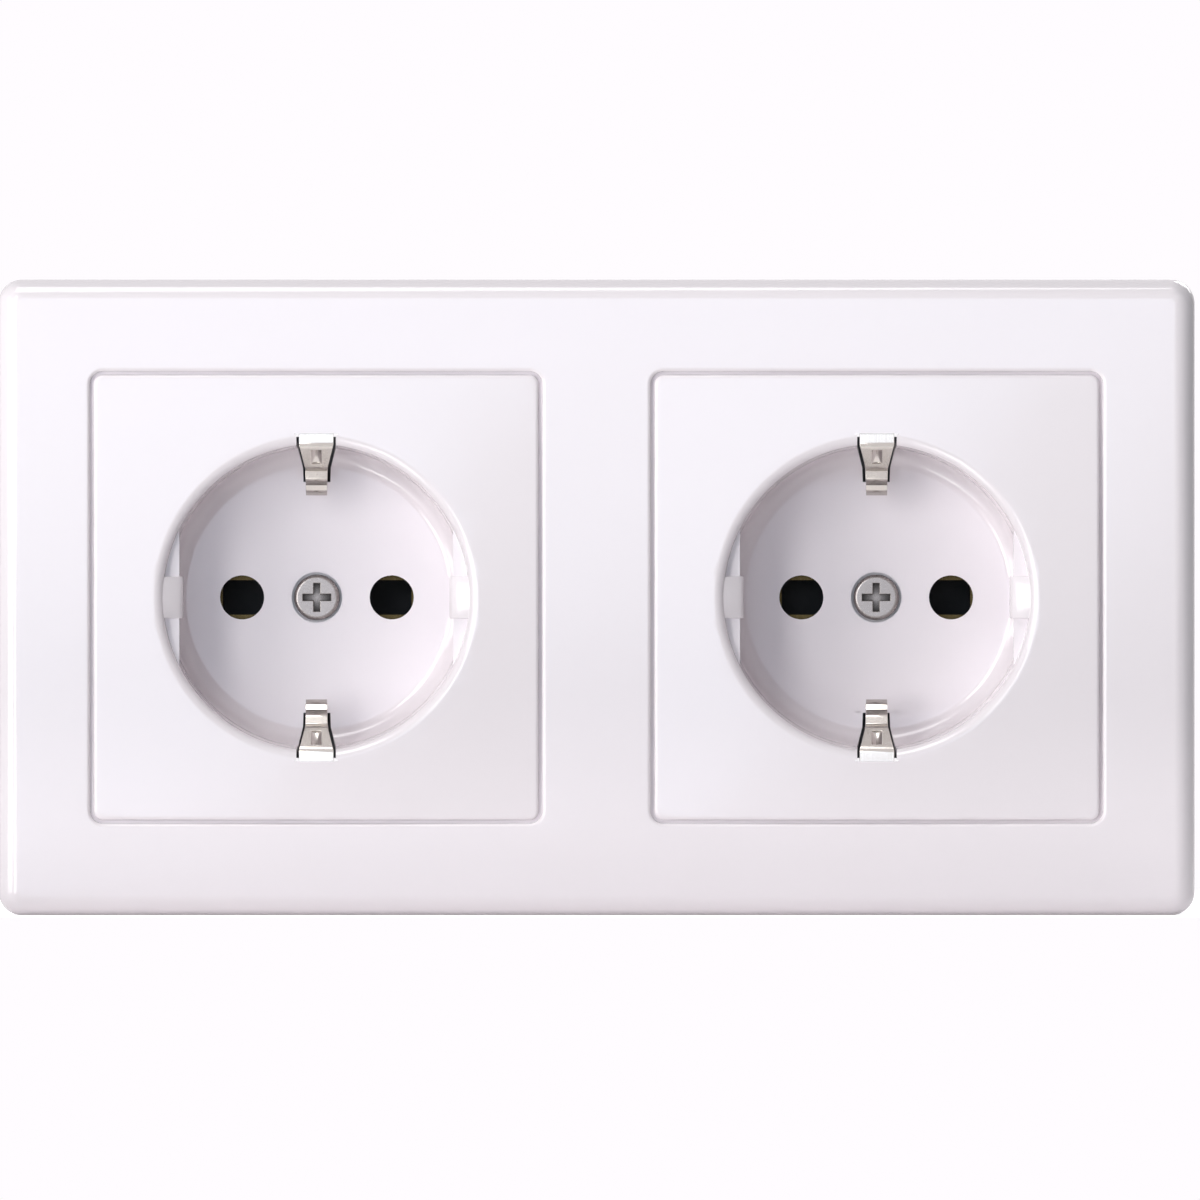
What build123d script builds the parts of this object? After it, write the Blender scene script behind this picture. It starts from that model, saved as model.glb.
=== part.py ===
from build123d import *
import math
import os

# Double earthed wall socket: two like inserts under one two-gang cover frame.
# Every piece is drawn with the wall lying flat: x to the right, y up the wall and z out of the wall,
# with z = 0 at the wall's surface. At the end the pieces are stood up, front towards -Y and +Z up.
# All sizes are in millimetres.

# Gangs
GANG_PITCH = 71.0  # distance between two device boxes
GANG_SIDES = {"left": -1, "right": 1}

# Cover frame
FRAME_OVERHANG = 4.75  # frame edge beyond the gang's square
FRAME_DEPTH = 9.6  # wall to the crest of the crowned front
FRAME_CROWN_RADIUS = 1800.0
FRAME_CORNER_RADIUS = 3.0
FRAME_EDGE_RADIUS = 2.6
FRAME_WALL = 2.0
FRAME_COLLAR_WALL = 1.6
FRAME_RIB = 1.2
FRAME_LEDGE_TOP = 5.0  # seat of the central plate above the wall
FRAME_LEDGE_THICKNESS = 1.5
FRAME_LEDGE_REACH = 2.0
FRAME_LIP_RADIUS = 0.5

# Central plate
PLATE_SIZE = 56.4
PLATE_GAP = 0.4  # shadow gap between plate and frame
PLATE_CORNER_RADIUS = 1.2
PLATE_EDGE_RADIUS = 0.5
PLATE_CROWN_RADIUS = 900.0
PLATE_PROUD = 0.25  # plate edge above the frame's lip
PLATE_SKIN = 2.0
PLATE_SKIRT_WALL = 1.6
PLATE_RIB = 1.2
PLATE_SEAT_GAP = 0.3  # well floor to the carrier behind it

# Plug well
WELL_RADIUS = 19.4
WELL_LEAD_IN = 1.25
WELL_DEPTH = 17.5
WELL_DRAFT = 1.2  # degrees
WELL_FLOOR_FILLET = 2.5
WELL_FLOOR = 2.4
WELL_WALL = 1.7
GUIDE_FLAT_INSET = 2.05  # well wall to the guide flats at the sides
GUIDE_FLAT_DROP = 2.4  # mouth to the front of the guide flats
GUIDE_RIB_INSET = 2.5
GUIDE_RIB_WIDTH = 5.1
GUIDE_RAMP_HEIGHT = 3.3
GUIDE_ROOT = 0.55  # depth to which the guides are sunk into the well's wall
PIN_SPACING = 19.0
PIN_HOLE_RADIUS = 2.8
PIN_LENGTH = 19.0  # reach of a plug's pins behind the well floor

# Central screw
SCREW_RADIUS = 1.45
SCREW_LENGTH = 12.0
SCREW_HEAD_RADIUS = 2.9
SCREW_HEAD_HEIGHT = 1.7
SCREW_HEAD_ROUND = 0.5
SCREW_SEAT_DEPTH = 1.0
SCREW_SEAT_GAP = 0.3
SCREW_BORE_GAP = 0.4
SCREW_RECESS_LENGTH = 3.6
SCREW_RECESS_WIDTH = 0.85
SCREW_RECESS_DEPTH = 1.0
THREAD_GAP = 0.03

# Earth bracket
EARTH_SHEET = 0.7
EARTH_WIDTH = 4.4
EARTH_TONGUE_WIDTH = 2.8
EARTH_NOSE_WIDTH = 2.2
EARTH_NECK_WIDTH = 2.6  # web where it passes behind the window
EARTH_SHOULDER_INSET = 3.1  # well wall to where the taper ends
EARTH_EYE_RADIUS = 4.4
EARTH_GAP = 0.3
EARTH_ARM_GAP = 0.25  # well wall to the arm outside it
EARTH_ROOF = 1.3  # skin of the plate left over the crest
EARTH_REVEAL = 0.1  # window edge beyond the mouth circle
EARTH_WINDOW_WIDTH = 5.5
EARTH_WINDOW_INSET = 4.75  # well wall to the window's inner end in the floor
EARTH_BEAD_RADIUS = 0.9
EARTH_BEAD_LENGTH = 2.4
EARTH_BEAD_DEPTH = 0.3
EARTH_FOOT_BEND = 1.2
EARTH_CREST_BEND = 0.8
EARTH_TERMINAL_BEND = 0.8
# Bend line of an earth contact: inset from the well's wall, drop below the crest, bend radius
EARTH_BENDS = [
    (0.1, 0.0, 0.8),
    (2.7, 2.5, 0.5),
    (3.1, 3.7, 0.5),
    (4.3, 4.2, 0.5),
    (4.9, 5.6, 0.5),
    (5.7, 6.1, 0.5),
    (6.2, 7.4, 0.8),
    (4.5, 10.8, 1.2),
    (3.0, 12.4, 0.0),
]

# Support ring
RING_GAP = 0.6  # between neighbouring rings
RING_THICKNESS = 1.2
RING_SEAT = 0.2  # ring's back in front of the frame's rim, so that the rim closes on the wall
RING_CORNER_RADIUS = 7.0
RING_OPENING_GAP = 0.4
BOX_SCREW_SPACING = 60.0
BOX_SCREW_HOLE_RADIUS = 2.1
LEVEL_SLOT_RADIUS = 32.5
LEVEL_SLOT_SWEEP = 16.0  # degrees
LEVEL_SLOT_WIDTH = 4.2

# Insert housing
HOUSING_CLAW_GAP = 1.0
HOUSING_CORNER_STEP = 0.6  # round corner of the housing inside the columns' centres
CARRIER_THICKNESS = 11.6
COVER_THICKNESS = 8.5
COVER_FLOOR = 2.3
COVER_EDGE = 1.2
COLUMN_RADIUS = 3.2
COLUMN_GAP = 0.5  # well wall to the columns
CHAMBER_GAP = 0.3
PIN_ENTRY_RADIUS = 3.1
CONTACT_ROOF = 2.2

# Rivets
RIVET_RADIUS = 1.4
RIVET_GAP = 0.1
RIVET_HEAD_RADIUS = 2.2
RIVET_HEAD_HEIGHT = 0.6
RIVET_SINK = 0.8
RING_RIVET_LENGTH = 8.0
HOUSING_RIVETS = [(-13.0, 9.0), (13.0, 9.0), (-6.8, -13.5), (6.8, -13.5)]

# Pin contacts
CONTACT_SHEET = 0.7
CONTACT_GRIP = 4.4  # free gap between the leaves
CONTACT_REACH = 2.5  # pin centre to the leaf ends, and to the web
CONTACT_LEAF_LENGTH = 8.4
CONTACT_LEG_DEPTH = 4.2  # below the housing's parting plane
CONTACT_LEG_RISE = 1.7  # above the housing's parting plane

# Plug-in wire terminals
CELL_REACH = 4.1  # strip to the far wall of a cell
CELL_HALF = 5.5
CELL_RISE = 4.5
TERMINAL_ROW = -10.1  # height of the line and neutral terminals
EARTH_TERMINAL_FACE = 11.6  # height of the strip in the earth terminal
EARTH_TERMINAL_START = 6.5
WIRE_REACH = 1.4
WIRE_OFFSET = 3.6
WIRE_HOLE_RADIUS = 1.75
WIRE_FUNNEL = 0.6
SPRING_SHEET = 0.4
SPRING_HALF = 5.2
SPRING_BEND = 0.5
SPRING_WALL_GAP = 0.1
SPRING_TURN_REACH = 2.6  # strip to the start of the tongue
SPRING_TURN_RISE = 1.2
SPRING_TIP_DROP = 1.2

# Release buttons
BUTTON_WIDTH = 2.8
BUTTON_DEPTH = 2.4
BUTTON_GAP = 0.12
BUTTON_FLANGE = 0.7  # overhang inside the housing
BUTTON_FLANGE_HEIGHT = 0.7
BUTTON_PROUD = 1.6
BUTTON_FOOT_HEIGHT = 2.1
BUTTON_FOOT_GAP = 0.15

# Spreading claws
CLAW_PIVOT_GAP = 1.9  # well wall to the claw's pivot
CLAW_PIVOT_DEPTH = 4.6
CLAW_LEVER = 3.6  # pivot to claw screw
CLAW_SHEET = 1.2
CLAW_LENGTH = 13.8
CLAW_TOOTH = 0.9
CLAW_PAD_RADIUS = 1.6
CLAW_CORNER = 0.8
CLAW_PLAY = 0.25
TRUNNION_RADIUS = 1.0
TRUNNION_GAP = 0.04
LUG_GAP = 0.3
LUG_LENGTH = 2.9
LUG_CORNER = 1.3
NUT_SIZE = 5.5
NUT_HEIGHT = 2.4
NUT_GAP = 0.08
CLAW_SCREW_RADIUS = 1.5
CLAW_SCREW_LENGTH = 16.2
CLAW_SCREW_GAP = 0.2
CLAW_SCREW_HEAD_RADIUS = 2.75
CLAW_SCREW_HEAD_HEIGHT = 1.9
CLAW_SCREW_SLOT = 0.8


def sag(radius, distance):
    """Drop of a crowned surface at a distance from its crest."""
    return radius - math.sqrt(radius**2 - distance**2)


# Levels and reaches that follow from the sizes above
overcut = 1.0
frame_height = GANG_PITCH + 2 * FRAME_OVERHANG
frame_length = frame_height + GANG_PITCH
opening = PLATE_SIZE + 2 * PLATE_GAP
opening_corner = PLATE_CORNER_RADIUS + PLATE_GAP
lip_z = FRAME_DEPTH - sag(FRAME_CROWN_RADIUS, opening / 2)
ledge_back_z = FRAME_LEDGE_TOP - FRAME_LEDGE_THICKNESS
frame_ceiling_z = FRAME_DEPTH - sag(FRAME_CROWN_RADIUS, frame_height / 2) - FRAME_WALL
plate_crest_z = lip_z + PLATE_PROUD + sag(PLATE_CROWN_RADIUS, PLATE_SIZE / 2)
plate_ceiling_z = plate_crest_z - sag(PLATE_CROWN_RADIUS, PLATE_SIZE / math.sqrt(2)) - PLATE_SKIN
mouth_radius = WELL_RADIUS + WELL_LEAD_IN
mouth_z = plate_crest_z - sag(PLATE_CROWN_RADIUS, mouth_radius)
floor_z = mouth_z - WELL_DEPTH
floor_back_z = floor_z - WELL_FLOOR
screw_seat_z = floor_z - SCREW_SEAT_DEPTH
well_outer = WELL_RADIUS + WELL_WALL
carrier_front_z = floor_back_z - PLATE_SEAT_GAP
parting_z = carrier_front_z - CARRIER_THICKNESS
cover_back_z = parting_z - COVER_THICKNESS
cell_back_z = cover_back_z + COVER_FLOOR
cell_front_z = parting_z + CELL_RISE
chamber_front_z = carrier_front_z - CONTACT_ROOF
chamber_back_z = floor_z - PIN_LENGTH - CHAMBER_GAP
contact_front_z = chamber_front_z - CHAMBER_GAP
contact_leaf_z = contact_front_z - CONTACT_LEAF_LENGTH
contact_leg_z = parting_z + CONTACT_LEG_RISE
contact_back_z = parting_z - CONTACT_LEG_DEPTH
pin_x = PIN_SPACING / 2
leaf_end = pin_x - CONTACT_REACH
web_face = pin_x + CONTACT_REACH
strip_face = web_face + CONTACT_SHEET
arm_y = well_outer + EARTH_ARM_GAP + EARTH_SHEET / 2
arm_outer = arm_y + EARTH_SHEET / 2
web_z = carrier_front_z - EARTH_SHEET / 2
web_back_z = carrier_front_z - EARTH_SHEET
crest_z = mouth_z - EARTH_ROOF - EARTH_GAP - EARTH_SHEET / 2
column_centre = well_outer + COLUMN_GAP + COLUMN_RADIUS
column_xy = column_centre / math.sqrt(2)
claw_pivot_x = well_outer + CLAW_PIVOT_GAP
claw_screw_x = claw_pivot_x + CLAW_LEVER
claw_inner = NUT_SIZE / 2 + CLAW_PLAY
claw_outer = claw_inner + CLAW_SHEET
claw_nose_x = claw_pivot_x - CLAW_PAD_RADIUS
lug_inner = claw_outer + LUG_GAP
lug_outer = lug_inner + RING_THICKNESS
ring_front_z = RING_SEAT + RING_THICKNESS
nut_front_z = -CLAW_PIVOT_DEPTH - CLAW_PAD_RADIUS - NUT_GAP
housing_flat = claw_nose_x - HOUSING_CLAW_GAP
housing_radius = column_centre - HOUSING_CORNER_STEP


def slab(sketch, bottom, top):
    """A plan outline made solid between two heights."""
    return extrude(Pos(0, 0, bottom) * sketch, top - bottom)


def block(x0, x1, y0, y1, z0, z1):
    """A block between two corners."""
    return Pos((x0 + x1) / 2, (y0 + y1) / 2, (z0 + z1) / 2) * Box(x1 - x0, y1 - y0, z1 - z0)


def rod(x, y, bottom, top, radius):
    """A round bar that stands on the wall plane."""
    return Pos(x, y, (bottom + top) / 2) * Cylinder(radius, top - bottom)


def bent_strip(points, radius, across, width, thickness):
    """Sheet metal strip bent along a line of points."""
    path = FilletPolyline(*points, radius=radius)
    section = Plane(origin=path @ 0, x_dir=across, z_dir=path % 0) * Rectangle(width, thickness)
    return sweep(section, path)


def top_face(part):
    """The face nearest to the room."""
    return part.faces().sort_by(Axis.Z)[-1]


def corners(x, y):
    """The four places at plus and minus x and y."""
    return [(sx * x, sy * y) for sx in (-1, 1) for sy in (-1, 1)]


def cover_frame():
    """Two-gang frame: crowned front, ledged openings, hollow ribbed back."""
    crown = Pos(0, 0, FRAME_DEPTH - FRAME_CROWN_RADIUS) * Rot(0, 90, 0)
    crown = crown * Cylinder(FRAME_CROWN_RADIUS, 2 * frame_length)
    outline = RectangleRounded(frame_length, frame_height, FRAME_CORNER_RADIUS)
    frame = slab(outline, 0, FRAME_DEPTH) & crown
    frame = fillet(top_face(frame).edges(), FRAME_EDGE_RADIUS)
    gangs = [Pos(side * GANG_PITCH / 2, 0, 0) for side in GANG_SIDES.values()]
    mouth = RectangleRounded(opening, opening, opening_corner)
    seat_size = opening - 2 * FRAME_LEDGE_REACH
    seat = RectangleRounded(seat_size, seat_size, opening_corner)
    for gang in gangs:
        frame -= gang * slab(mouth, FRAME_LEDGE_TOP, FRAME_DEPTH + overcut)
        frame -= gang * slab(seat, -overcut, FRAME_LEDGE_TOP)
    lips = [edge for wire in top_face(frame).inner_wires() for edge in wire.edges()]
    frame = fillet(lips, FRAME_LIP_RADIUS)
    hollow = Rectangle(frame_length - 2 * FRAME_WALL, frame_height - 2 * FRAME_WALL)
    frame -= slab(hollow, -overcut, ledge_back_z)
    collar_size = opening + 2 * FRAME_COLLAR_WALL
    pockets = hollow - Rectangle(frame_length, FRAME_RIB) - Rectangle(FRAME_RIB, frame_height)
    for gang in gangs:
        pockets -= gang * Rectangle(collar_size, collar_size)
        pockets -= gang * Rectangle(FRAME_RIB, frame_height)
    return frame - slab(pockets, ledge_back_z, frame_ceiling_z)


def well_hollow():
    """The turned inside of the plug well, up to beyond its mouth."""
    draft = math.tan(math.radians(WELL_DRAFT))
    floor_edge = WELL_RADIUS - WELL_DEPTH * draft
    top_edge = WELL_RADIUS + overcut * draft
    top = mouth_z + overcut
    line = Polyline((0, floor_z), (floor_edge, floor_z), (top_edge, top), (0, top), close=True)
    profile = make_face(line)
    corner = profile.vertices().sort_by_distance((floor_edge, floor_z))[0]
    return revolve(Plane.XZ * fillet(corner, WELL_FLOOR_FILLET), Axis.Z)


def guides():
    """Guide flats at both sides of the well, each with a ramped rib in its middle."""
    root = WELL_RADIUS + GUIDE_ROOT
    middle = Rectangle(2 * (WELL_RADIUS - GUIDE_FLAT_INSET), 2 * well_outer)
    flats = slab(Circle(root) - middle, floor_back_z, mouth_z - GUIDE_FLAT_DROP)
    rib_x = WELL_RADIUS - GUIDE_RIB_INSET
    rib_front_z = mouth_z - WELL_LEAD_IN
    profile = Polyline(
        (rib_x, floor_back_z),
        (rib_x, rib_front_z - GUIDE_RAMP_HEIGHT),
        (WELL_RADIUS, rib_front_z),
        (root, rib_front_z),
        (root, floor_back_z),
        close=True,
    )
    rib = extrude(Plane.XZ * make_face(profile), GUIDE_RIB_WIDTH / 2, both=True)
    return flats + rib + mirror(rib, Plane.YZ)


def central_plate():
    """Square crowned plate and plug well, one moulding."""
    crown = Pos(0, 0, plate_crest_z - PLATE_CROWN_RADIUS) * Rot(0, 90, 0) * Sphere(PLATE_CROWN_RADIUS)
    outline = RectangleRounded(PLATE_SIZE, PLATE_SIZE, PLATE_CORNER_RADIUS)
    plate = slab(outline, FRAME_LEDGE_TOP, plate_crest_z) & crown
    plate = fillet(top_face(plate).edges(), PLATE_EDGE_RADIUS)
    inside = PLATE_SIZE - 2 * PLATE_SKIRT_WALL
    pockets = Rectangle(inside, inside)
    for angle in (45, -45):
        pockets -= Rot(0, 0, angle) * Rectangle(2 * PLATE_SIZE, PLATE_RIB)
    plate -= slab(pockets, FRAME_LEDGE_TOP - overcut, plate_ceiling_z)
    plate += rod(0, 0, floor_back_z, plate_ceiling_z + PLATE_SKIN / 2, well_outer)
    plate -= well_hollow()
    mouth_edge = top_face(plate).inner_wires()[0].edges()
    plate = fillet(mouth_edge, WELL_LEAD_IN)
    plate += guides()
    for x in (-pin_x, pin_x):
        plate -= rod(x, 0, floor_back_z - overcut, floor_z + overcut, PIN_HOLE_RADIUS)
    plate -= rod(0, 0, floor_back_z - overcut, floor_z + overcut, SCREW_RADIUS + SCREW_SEAT_GAP)
    plate -= rod(0, 0, screw_seat_z, floor_z + overcut, SCREW_HEAD_RADIUS + SCREW_SEAT_GAP)
    half = EARTH_WINDOW_WIDTH / 2
    inner = WELL_RADIUS - EARTH_WINDOW_INSET
    reach = arm_outer + EARTH_GAP
    back_z = floor_back_z - overcut
    window = block(-half, half, inner, mouth_radius + EARTH_REVEAL, back_z, plate_crest_z + overcut)
    window += block(-half, half, inner, reach, back_z, mouth_z - EARTH_ROOF)
    return plate - window - mirror(window, Plane.XZ)


def central_screw():
    """Round-head screw with a cross recess; it pulls the plate onto the frame."""
    head_z = screw_seat_z + SCREW_HEAD_HEIGHT
    head = rod(0, 0, screw_seat_z, head_z, SCREW_HEAD_RADIUS)
    head = fillet(top_face(head).edges(), SCREW_HEAD_ROUND)
    recess = Box(SCREW_RECESS_LENGTH, SCREW_RECESS_WIDTH, 2 * SCREW_RECESS_DEPTH)
    head -= Pos(0, 0, head_z) * (recess + Rot(0, 0, 90) * recess)
    return head + rod(0, 0, screw_seat_z - SCREW_LENGTH, screw_seat_z, SCREW_RADIUS)


def earth_bracket():
    """Plated spring strip: a web behind the well, two arms, and the bent earth contacts in the well."""
    line = [(0, 0, web_z), (0, arm_y, web_z), (0, arm_y, crest_z)]
    line += [(0, WELL_RADIUS - inset, crest_z - drop) for inset, drop, bend in EARTH_BENDS]
    bends = [EARTH_FOOT_BEND, EARTH_CREST_BEND] + [bend for inset, drop, bend in EARTH_BENDS[:-1]]
    strip = bent_strip(line, bends, (1, 0, 0), EARTH_WIDTH, EARTH_SHEET)
    shoulder = WELL_RADIUS - EARTH_SHOULDER_INSET
    full, tongue, nose = EARTH_WIDTH / 2, EARTH_TONGUE_WIDTH / 2, EARTH_NOSE_WIDTH / 2
    far = arm_outer + overcut
    edge = [(full, far), (full, WELL_RADIUS), (tongue, shoulder), (nose, 0)]
    outline = make_face(Polyline(*edge, *[(-x, y) for x, y in reversed(edge)], close=True))
    arm = strip & slab(outline, floor_back_z, mouth_z)
    neck = EARTH_NECK_WIDTH / 2
    foot = block(-neck, neck, 0, well_outer, web_back_z - overcut, floor_back_z)
    foot += block(-full, full, well_outer, far, web_back_z - overcut, floor_back_z)
    arm += strip & foot
    start, end = Vector(*line[3]), Vector(*line[4])
    slope = (end - start).normalized()
    front = slope.cross(Vector(1, 0, 0))
    middle = (start + end) * 0.5 + front * (EARTH_SHEET / 2 + EARTH_BEAD_RADIUS - EARTH_BEAD_DEPTH)
    arm -= Plane(origin=middle, x_dir=(1, 0, 0), z_dir=slope) * Cylinder(EARTH_BEAD_RADIUS, EARTH_BEAD_LENGTH)
    eye = rod(0, 0, web_back_z, carrier_front_z, EARTH_EYE_RADIUS)
    hole = rod(0, 0, web_back_z - overcut, carrier_front_z + overcut, SCREW_RADIUS + THREAD_GAP)
    return arm + mirror(arm, Plane.XZ) + eye - hole


def earth_terminal():
    """Angle strip from the bracket's web to the earth terminal."""
    foot_z = web_z - EARTH_SHEET
    strip_y = EARTH_TERMINAL_FACE - EARTH_SHEET / 2
    line = [(0, EARTH_TERMINAL_START, foot_z), (0, strip_y, foot_z), (0, strip_y, contact_back_z)]
    return bent_strip(line, EARTH_TERMINAL_BEND, (1, 0, 0), 2 * SPRING_HALF, EARTH_SHEET)


def trunnion_bar(length, radius):
    """Round bar on the right claw's pivot line."""
    return Pos(claw_pivot_x, 0, -CLAW_PIVOT_DEPTH) * Rot(90, 0, 0) * Cylinder(radius, length)


def support_ring():
    """Stamped steel ring with box-screw holes, levelling slots and lugs for the claws."""
    size = GANG_PITCH - RING_GAP
    plan = RectangleRounded(size, size, RING_CORNER_RADIUS) - Circle(well_outer + RING_OPENING_GAP)
    plan -= Rectangle(EARTH_WINDOW_WIDTH, 2 * (arm_outer + RING_OPENING_GAP))
    plan -= Rectangle(2 * claw_pivot_x, 2 * lug_inner)
    for side in (-1, 1):
        plan -= Pos(0, side * BOX_SCREW_SPACING / 2) * Circle(BOX_SCREW_HOLE_RADIUS)
        plan -= Pos(side * claw_screw_x, 0) * Circle(CLAW_SCREW_RADIUS + CLAW_SCREW_GAP)
    for x, y in corners(column_xy, column_xy):
        plan -= Pos(x, y) * Circle(RIVET_RADIUS + RIVET_GAP)
    for quarter in range(4):
        start = 90 * quarter + 45 - LEVEL_SLOT_SWEEP / 2
        plan -= SlotArc(CenterArc((0, 0), LEVEL_SLOT_RADIUS, start, LEVEL_SLOT_SWEEP), LEVEL_SLOT_WIDTH)
    half = LUG_LENGTH / 2
    foot_z = -CLAW_PIVOT_DEPTH - half
    lug = block(claw_pivot_x - half, claw_pivot_x + half, lug_inner, lug_outer, foot_z, ring_front_z)
    lug = fillet(lug.edges().filter_by(Axis.Y).sort_by(Axis.Z)[:2], LUG_CORNER)
    lug -= trunnion_bar(2 * lug_outer + overcut, TRUNNION_RADIUS + TRUNNION_GAP)
    lugs = lug + mirror(lug, Plane.YZ)
    return slab(plan, RING_SEAT, ring_front_z) + lugs + mirror(lugs, Plane.XZ)


def ring_rivets():
    """Rivets that hold the ring on the carrier's columns."""
    rivets = []
    for x, y in corners(column_xy, column_xy):
        head = rod(x, y, ring_front_z, ring_front_z + RIVET_HEAD_HEIGHT, RIVET_HEAD_RADIUS)
        rivets.append(head + rod(x, y, ring_front_z - RING_RIVET_LENGTH, ring_front_z, RIVET_RADIUS))
    return Part() + rivets


def housing_plan():
    """Round plan of the insert housing, with four flats."""
    return Circle(housing_radius) & Rectangle(2 * housing_flat, 2 * housing_flat)


def cell_places():
    """Places of the three wire terminals; the first axis points away from the contact strip."""
    right = Pos(strip_face, TERMINAL_ROW, 0)
    left = Pos(-strip_face, TERMINAL_ROW, 0) * Rot(0, 0, 180)
    upper = Pos(0, EARTH_TERMINAL_FACE, 0) * Rot(0, 0, 90)
    return {"line": left, "neutral": right, "earth": upper}


def chambers():
    """The hollows of the housing, from the carrier's contact roof to the cover's floor."""
    grip = CONTACT_GRIP / 2 + CONTACT_SHEET + CHAMBER_GAP
    web_outer = strip_face + CHAMBER_GAP
    web_inner = web_face - CHAMBER_GAP
    leg_end = TERMINAL_ROW - CELL_HALF
    side = block(leaf_end - CHAMBER_GAP, web_outer, -grip, grip, chamber_back_z, chamber_front_z)
    side += block(web_inner, web_outer, leg_end, 0, chamber_back_z, contact_leg_z + CHAMBER_GAP)
    hollow = side + mirror(side, Plane.YZ)
    strip = EARTH_TERMINAL_FACE - EARTH_SHEET / 2 - EARTH_TERMINAL_BEND
    half = SPRING_HALF + CHAMBER_GAP
    hollow += block(-half, half, strip, EARTH_TERMINAL_FACE + CHAMBER_GAP, chamber_back_z, carrier_front_z)
    for place in cell_places().values():
        hollow += place * block(0, CELL_REACH, -CELL_HALF, CELL_HALF, cell_back_z, cell_front_z)
    return hollow


def contact_carrier():
    """Front half of the housing: columns for the ring, pin entries, a groove for the earth bracket."""
    front = carrier_front_z + overcut
    carrier = slab(housing_plan(), parting_z, carrier_front_z)
    for x, y in corners(column_xy, column_xy):
        carrier += rod(x, y, parting_z, RING_SEAT, COLUMN_RADIUS)
    for x, y in corners(column_xy, column_xy):
        foot_z = ring_front_z - RING_RIVET_LENGTH - CHAMBER_GAP
        carrier -= rod(x, y, foot_z, RING_SEAT + overcut, RIVET_RADIUS + RIVET_GAP)
    for x in (-pin_x, pin_x):
        carrier -= rod(x, 0, chamber_front_z - overcut, front, PIN_ENTRY_RADIUS)
    carrier -= rod(0, 0, screw_seat_z - SCREW_LENGTH - overcut, front, SCREW_RADIUS + SCREW_BORE_GAP)
    half = EARTH_NECK_WIDTH / 2 + EARTH_GAP
    carrier -= block(-half, half, -arm_outer, arm_outer, web_back_z, front)
    carrier -= rod(0, 0, web_back_z, front, EARTH_EYE_RADIUS + EARTH_GAP)
    half = SPRING_HALF + CHAMBER_GAP
    foot = EARTH_TERMINAL_START - CHAMBER_GAP
    face = EARTH_TERMINAL_FACE + CHAMBER_GAP
    carrier -= block(-half, half, foot, face, web_back_z - EARTH_SHEET, front)
    for x, y in HOUSING_RIVETS:
        carrier -= rod(x, y, parting_z - overcut, front, RIVET_RADIUS + RIVET_GAP)
        carrier -= rod(x, y, carrier_front_z - RIVET_SINK, front, RIVET_HEAD_RADIUS + CHAMBER_GAP)
    return carrier - chambers()


def terminal_cover():
    """Rear half of the housing, with wire entries and windows for the release buttons."""
    back = cover_back_z - overcut
    cover = slab(housing_plan(), cover_back_z, parting_z)
    cover = chamfer(cover.faces().sort_by(Axis.Z)[0].edges(), COVER_EDGE)
    cover -= chambers()
    for place in cell_places().values():
        for offset in (-WIRE_OFFSET, WIRE_OFFSET):
            mouth = Pos(WIRE_REACH, offset, cover_back_z + WIRE_FUNNEL / 2)
            entry = mouth * Cone(WIRE_HOLE_RADIUS + WIRE_FUNNEL, WIRE_HOLE_RADIUS, WIRE_FUNNEL)
            entry += rod(WIRE_REACH, offset, back, cell_back_z + overcut, WIRE_HOLE_RADIUS)
            cover -= place * entry
        cover -= place * button_bar(BUTTON_GAP, back, cell_back_z + overcut)
    for x, y in HOUSING_RIVETS:
        cover -= rod(x, y, back, parting_z + overcut, RIVET_RADIUS + RIVET_GAP)
    return cover


def housing_rivets():
    """Rivets through carrier and cover."""
    front = carrier_front_z - RIVET_SINK
    rivets = []
    for x, y in HOUSING_RIVETS:
        rivet = rod(x, y, cover_back_z, front, RIVET_RADIUS)
        rivet += rod(x, y, front, front + RIVET_HEAD_HEIGHT, RIVET_HEAD_RADIUS)
        rivet += rod(x, y, cover_back_z - RIVET_HEAD_HEIGHT, cover_back_z, RIVET_HEAD_RADIUS)
        rivets.append(rivet)
    return Part() + rivets


def pin_contact():
    """Right-hand sleeve contact: two leaves on a web, and a leg down to the wire terminal."""
    leaf = CONTACT_GRIP / 2 + CONTACT_SHEET / 2
    web = web_face + CONTACT_SHEET / 2
    middle_z = (contact_front_z + contact_leaf_z) / 2
    line = [(leaf_end, leaf, middle_z), (web, leaf, middle_z)]
    line += [(web, -leaf, middle_z), (leaf_end, -leaf, middle_z)]
    contact = bent_strip(line, CONTACT_SHEET, (0, 0, 1), CONTACT_LEAF_LENGTH, CONTACT_SHEET)
    half = CONTACT_GRIP / 2
    leg_end = TERMINAL_ROW - SPRING_HALF
    contact += block(web_face, strip_face, -half, half, contact_back_z, contact_leaf_z)
    return contact + block(web_face, strip_face, leg_end, half, contact_back_z, contact_leg_z)


def spring_line():
    """Bend line of a clamp spring in its cell: anchor leg, turn at the back, tongue to the strip."""
    anchor = CELL_REACH - SPRING_WALL_GAP - SPRING_SHEET / 2
    tip = SPRING_WALL_GAP + SPRING_SHEET / 2
    turn_z = cell_back_z + SPRING_TURN_RISE
    leg = [(anchor, cell_front_z - CHAMBER_GAP), (anchor, turn_z)]
    return leg + [(SPRING_TURN_REACH, turn_z), (tip, contact_leg_z - SPRING_TIP_DROP)]


def clamp_spring():
    """Leaf spring that presses a wire against the contact strip."""
    points = [(u, 0, z) for u, z in spring_line()]
    return bent_strip(points, SPRING_BEND, (0, 1, 0), 2 * SPRING_HALF, SPRING_SHEET)


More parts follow.
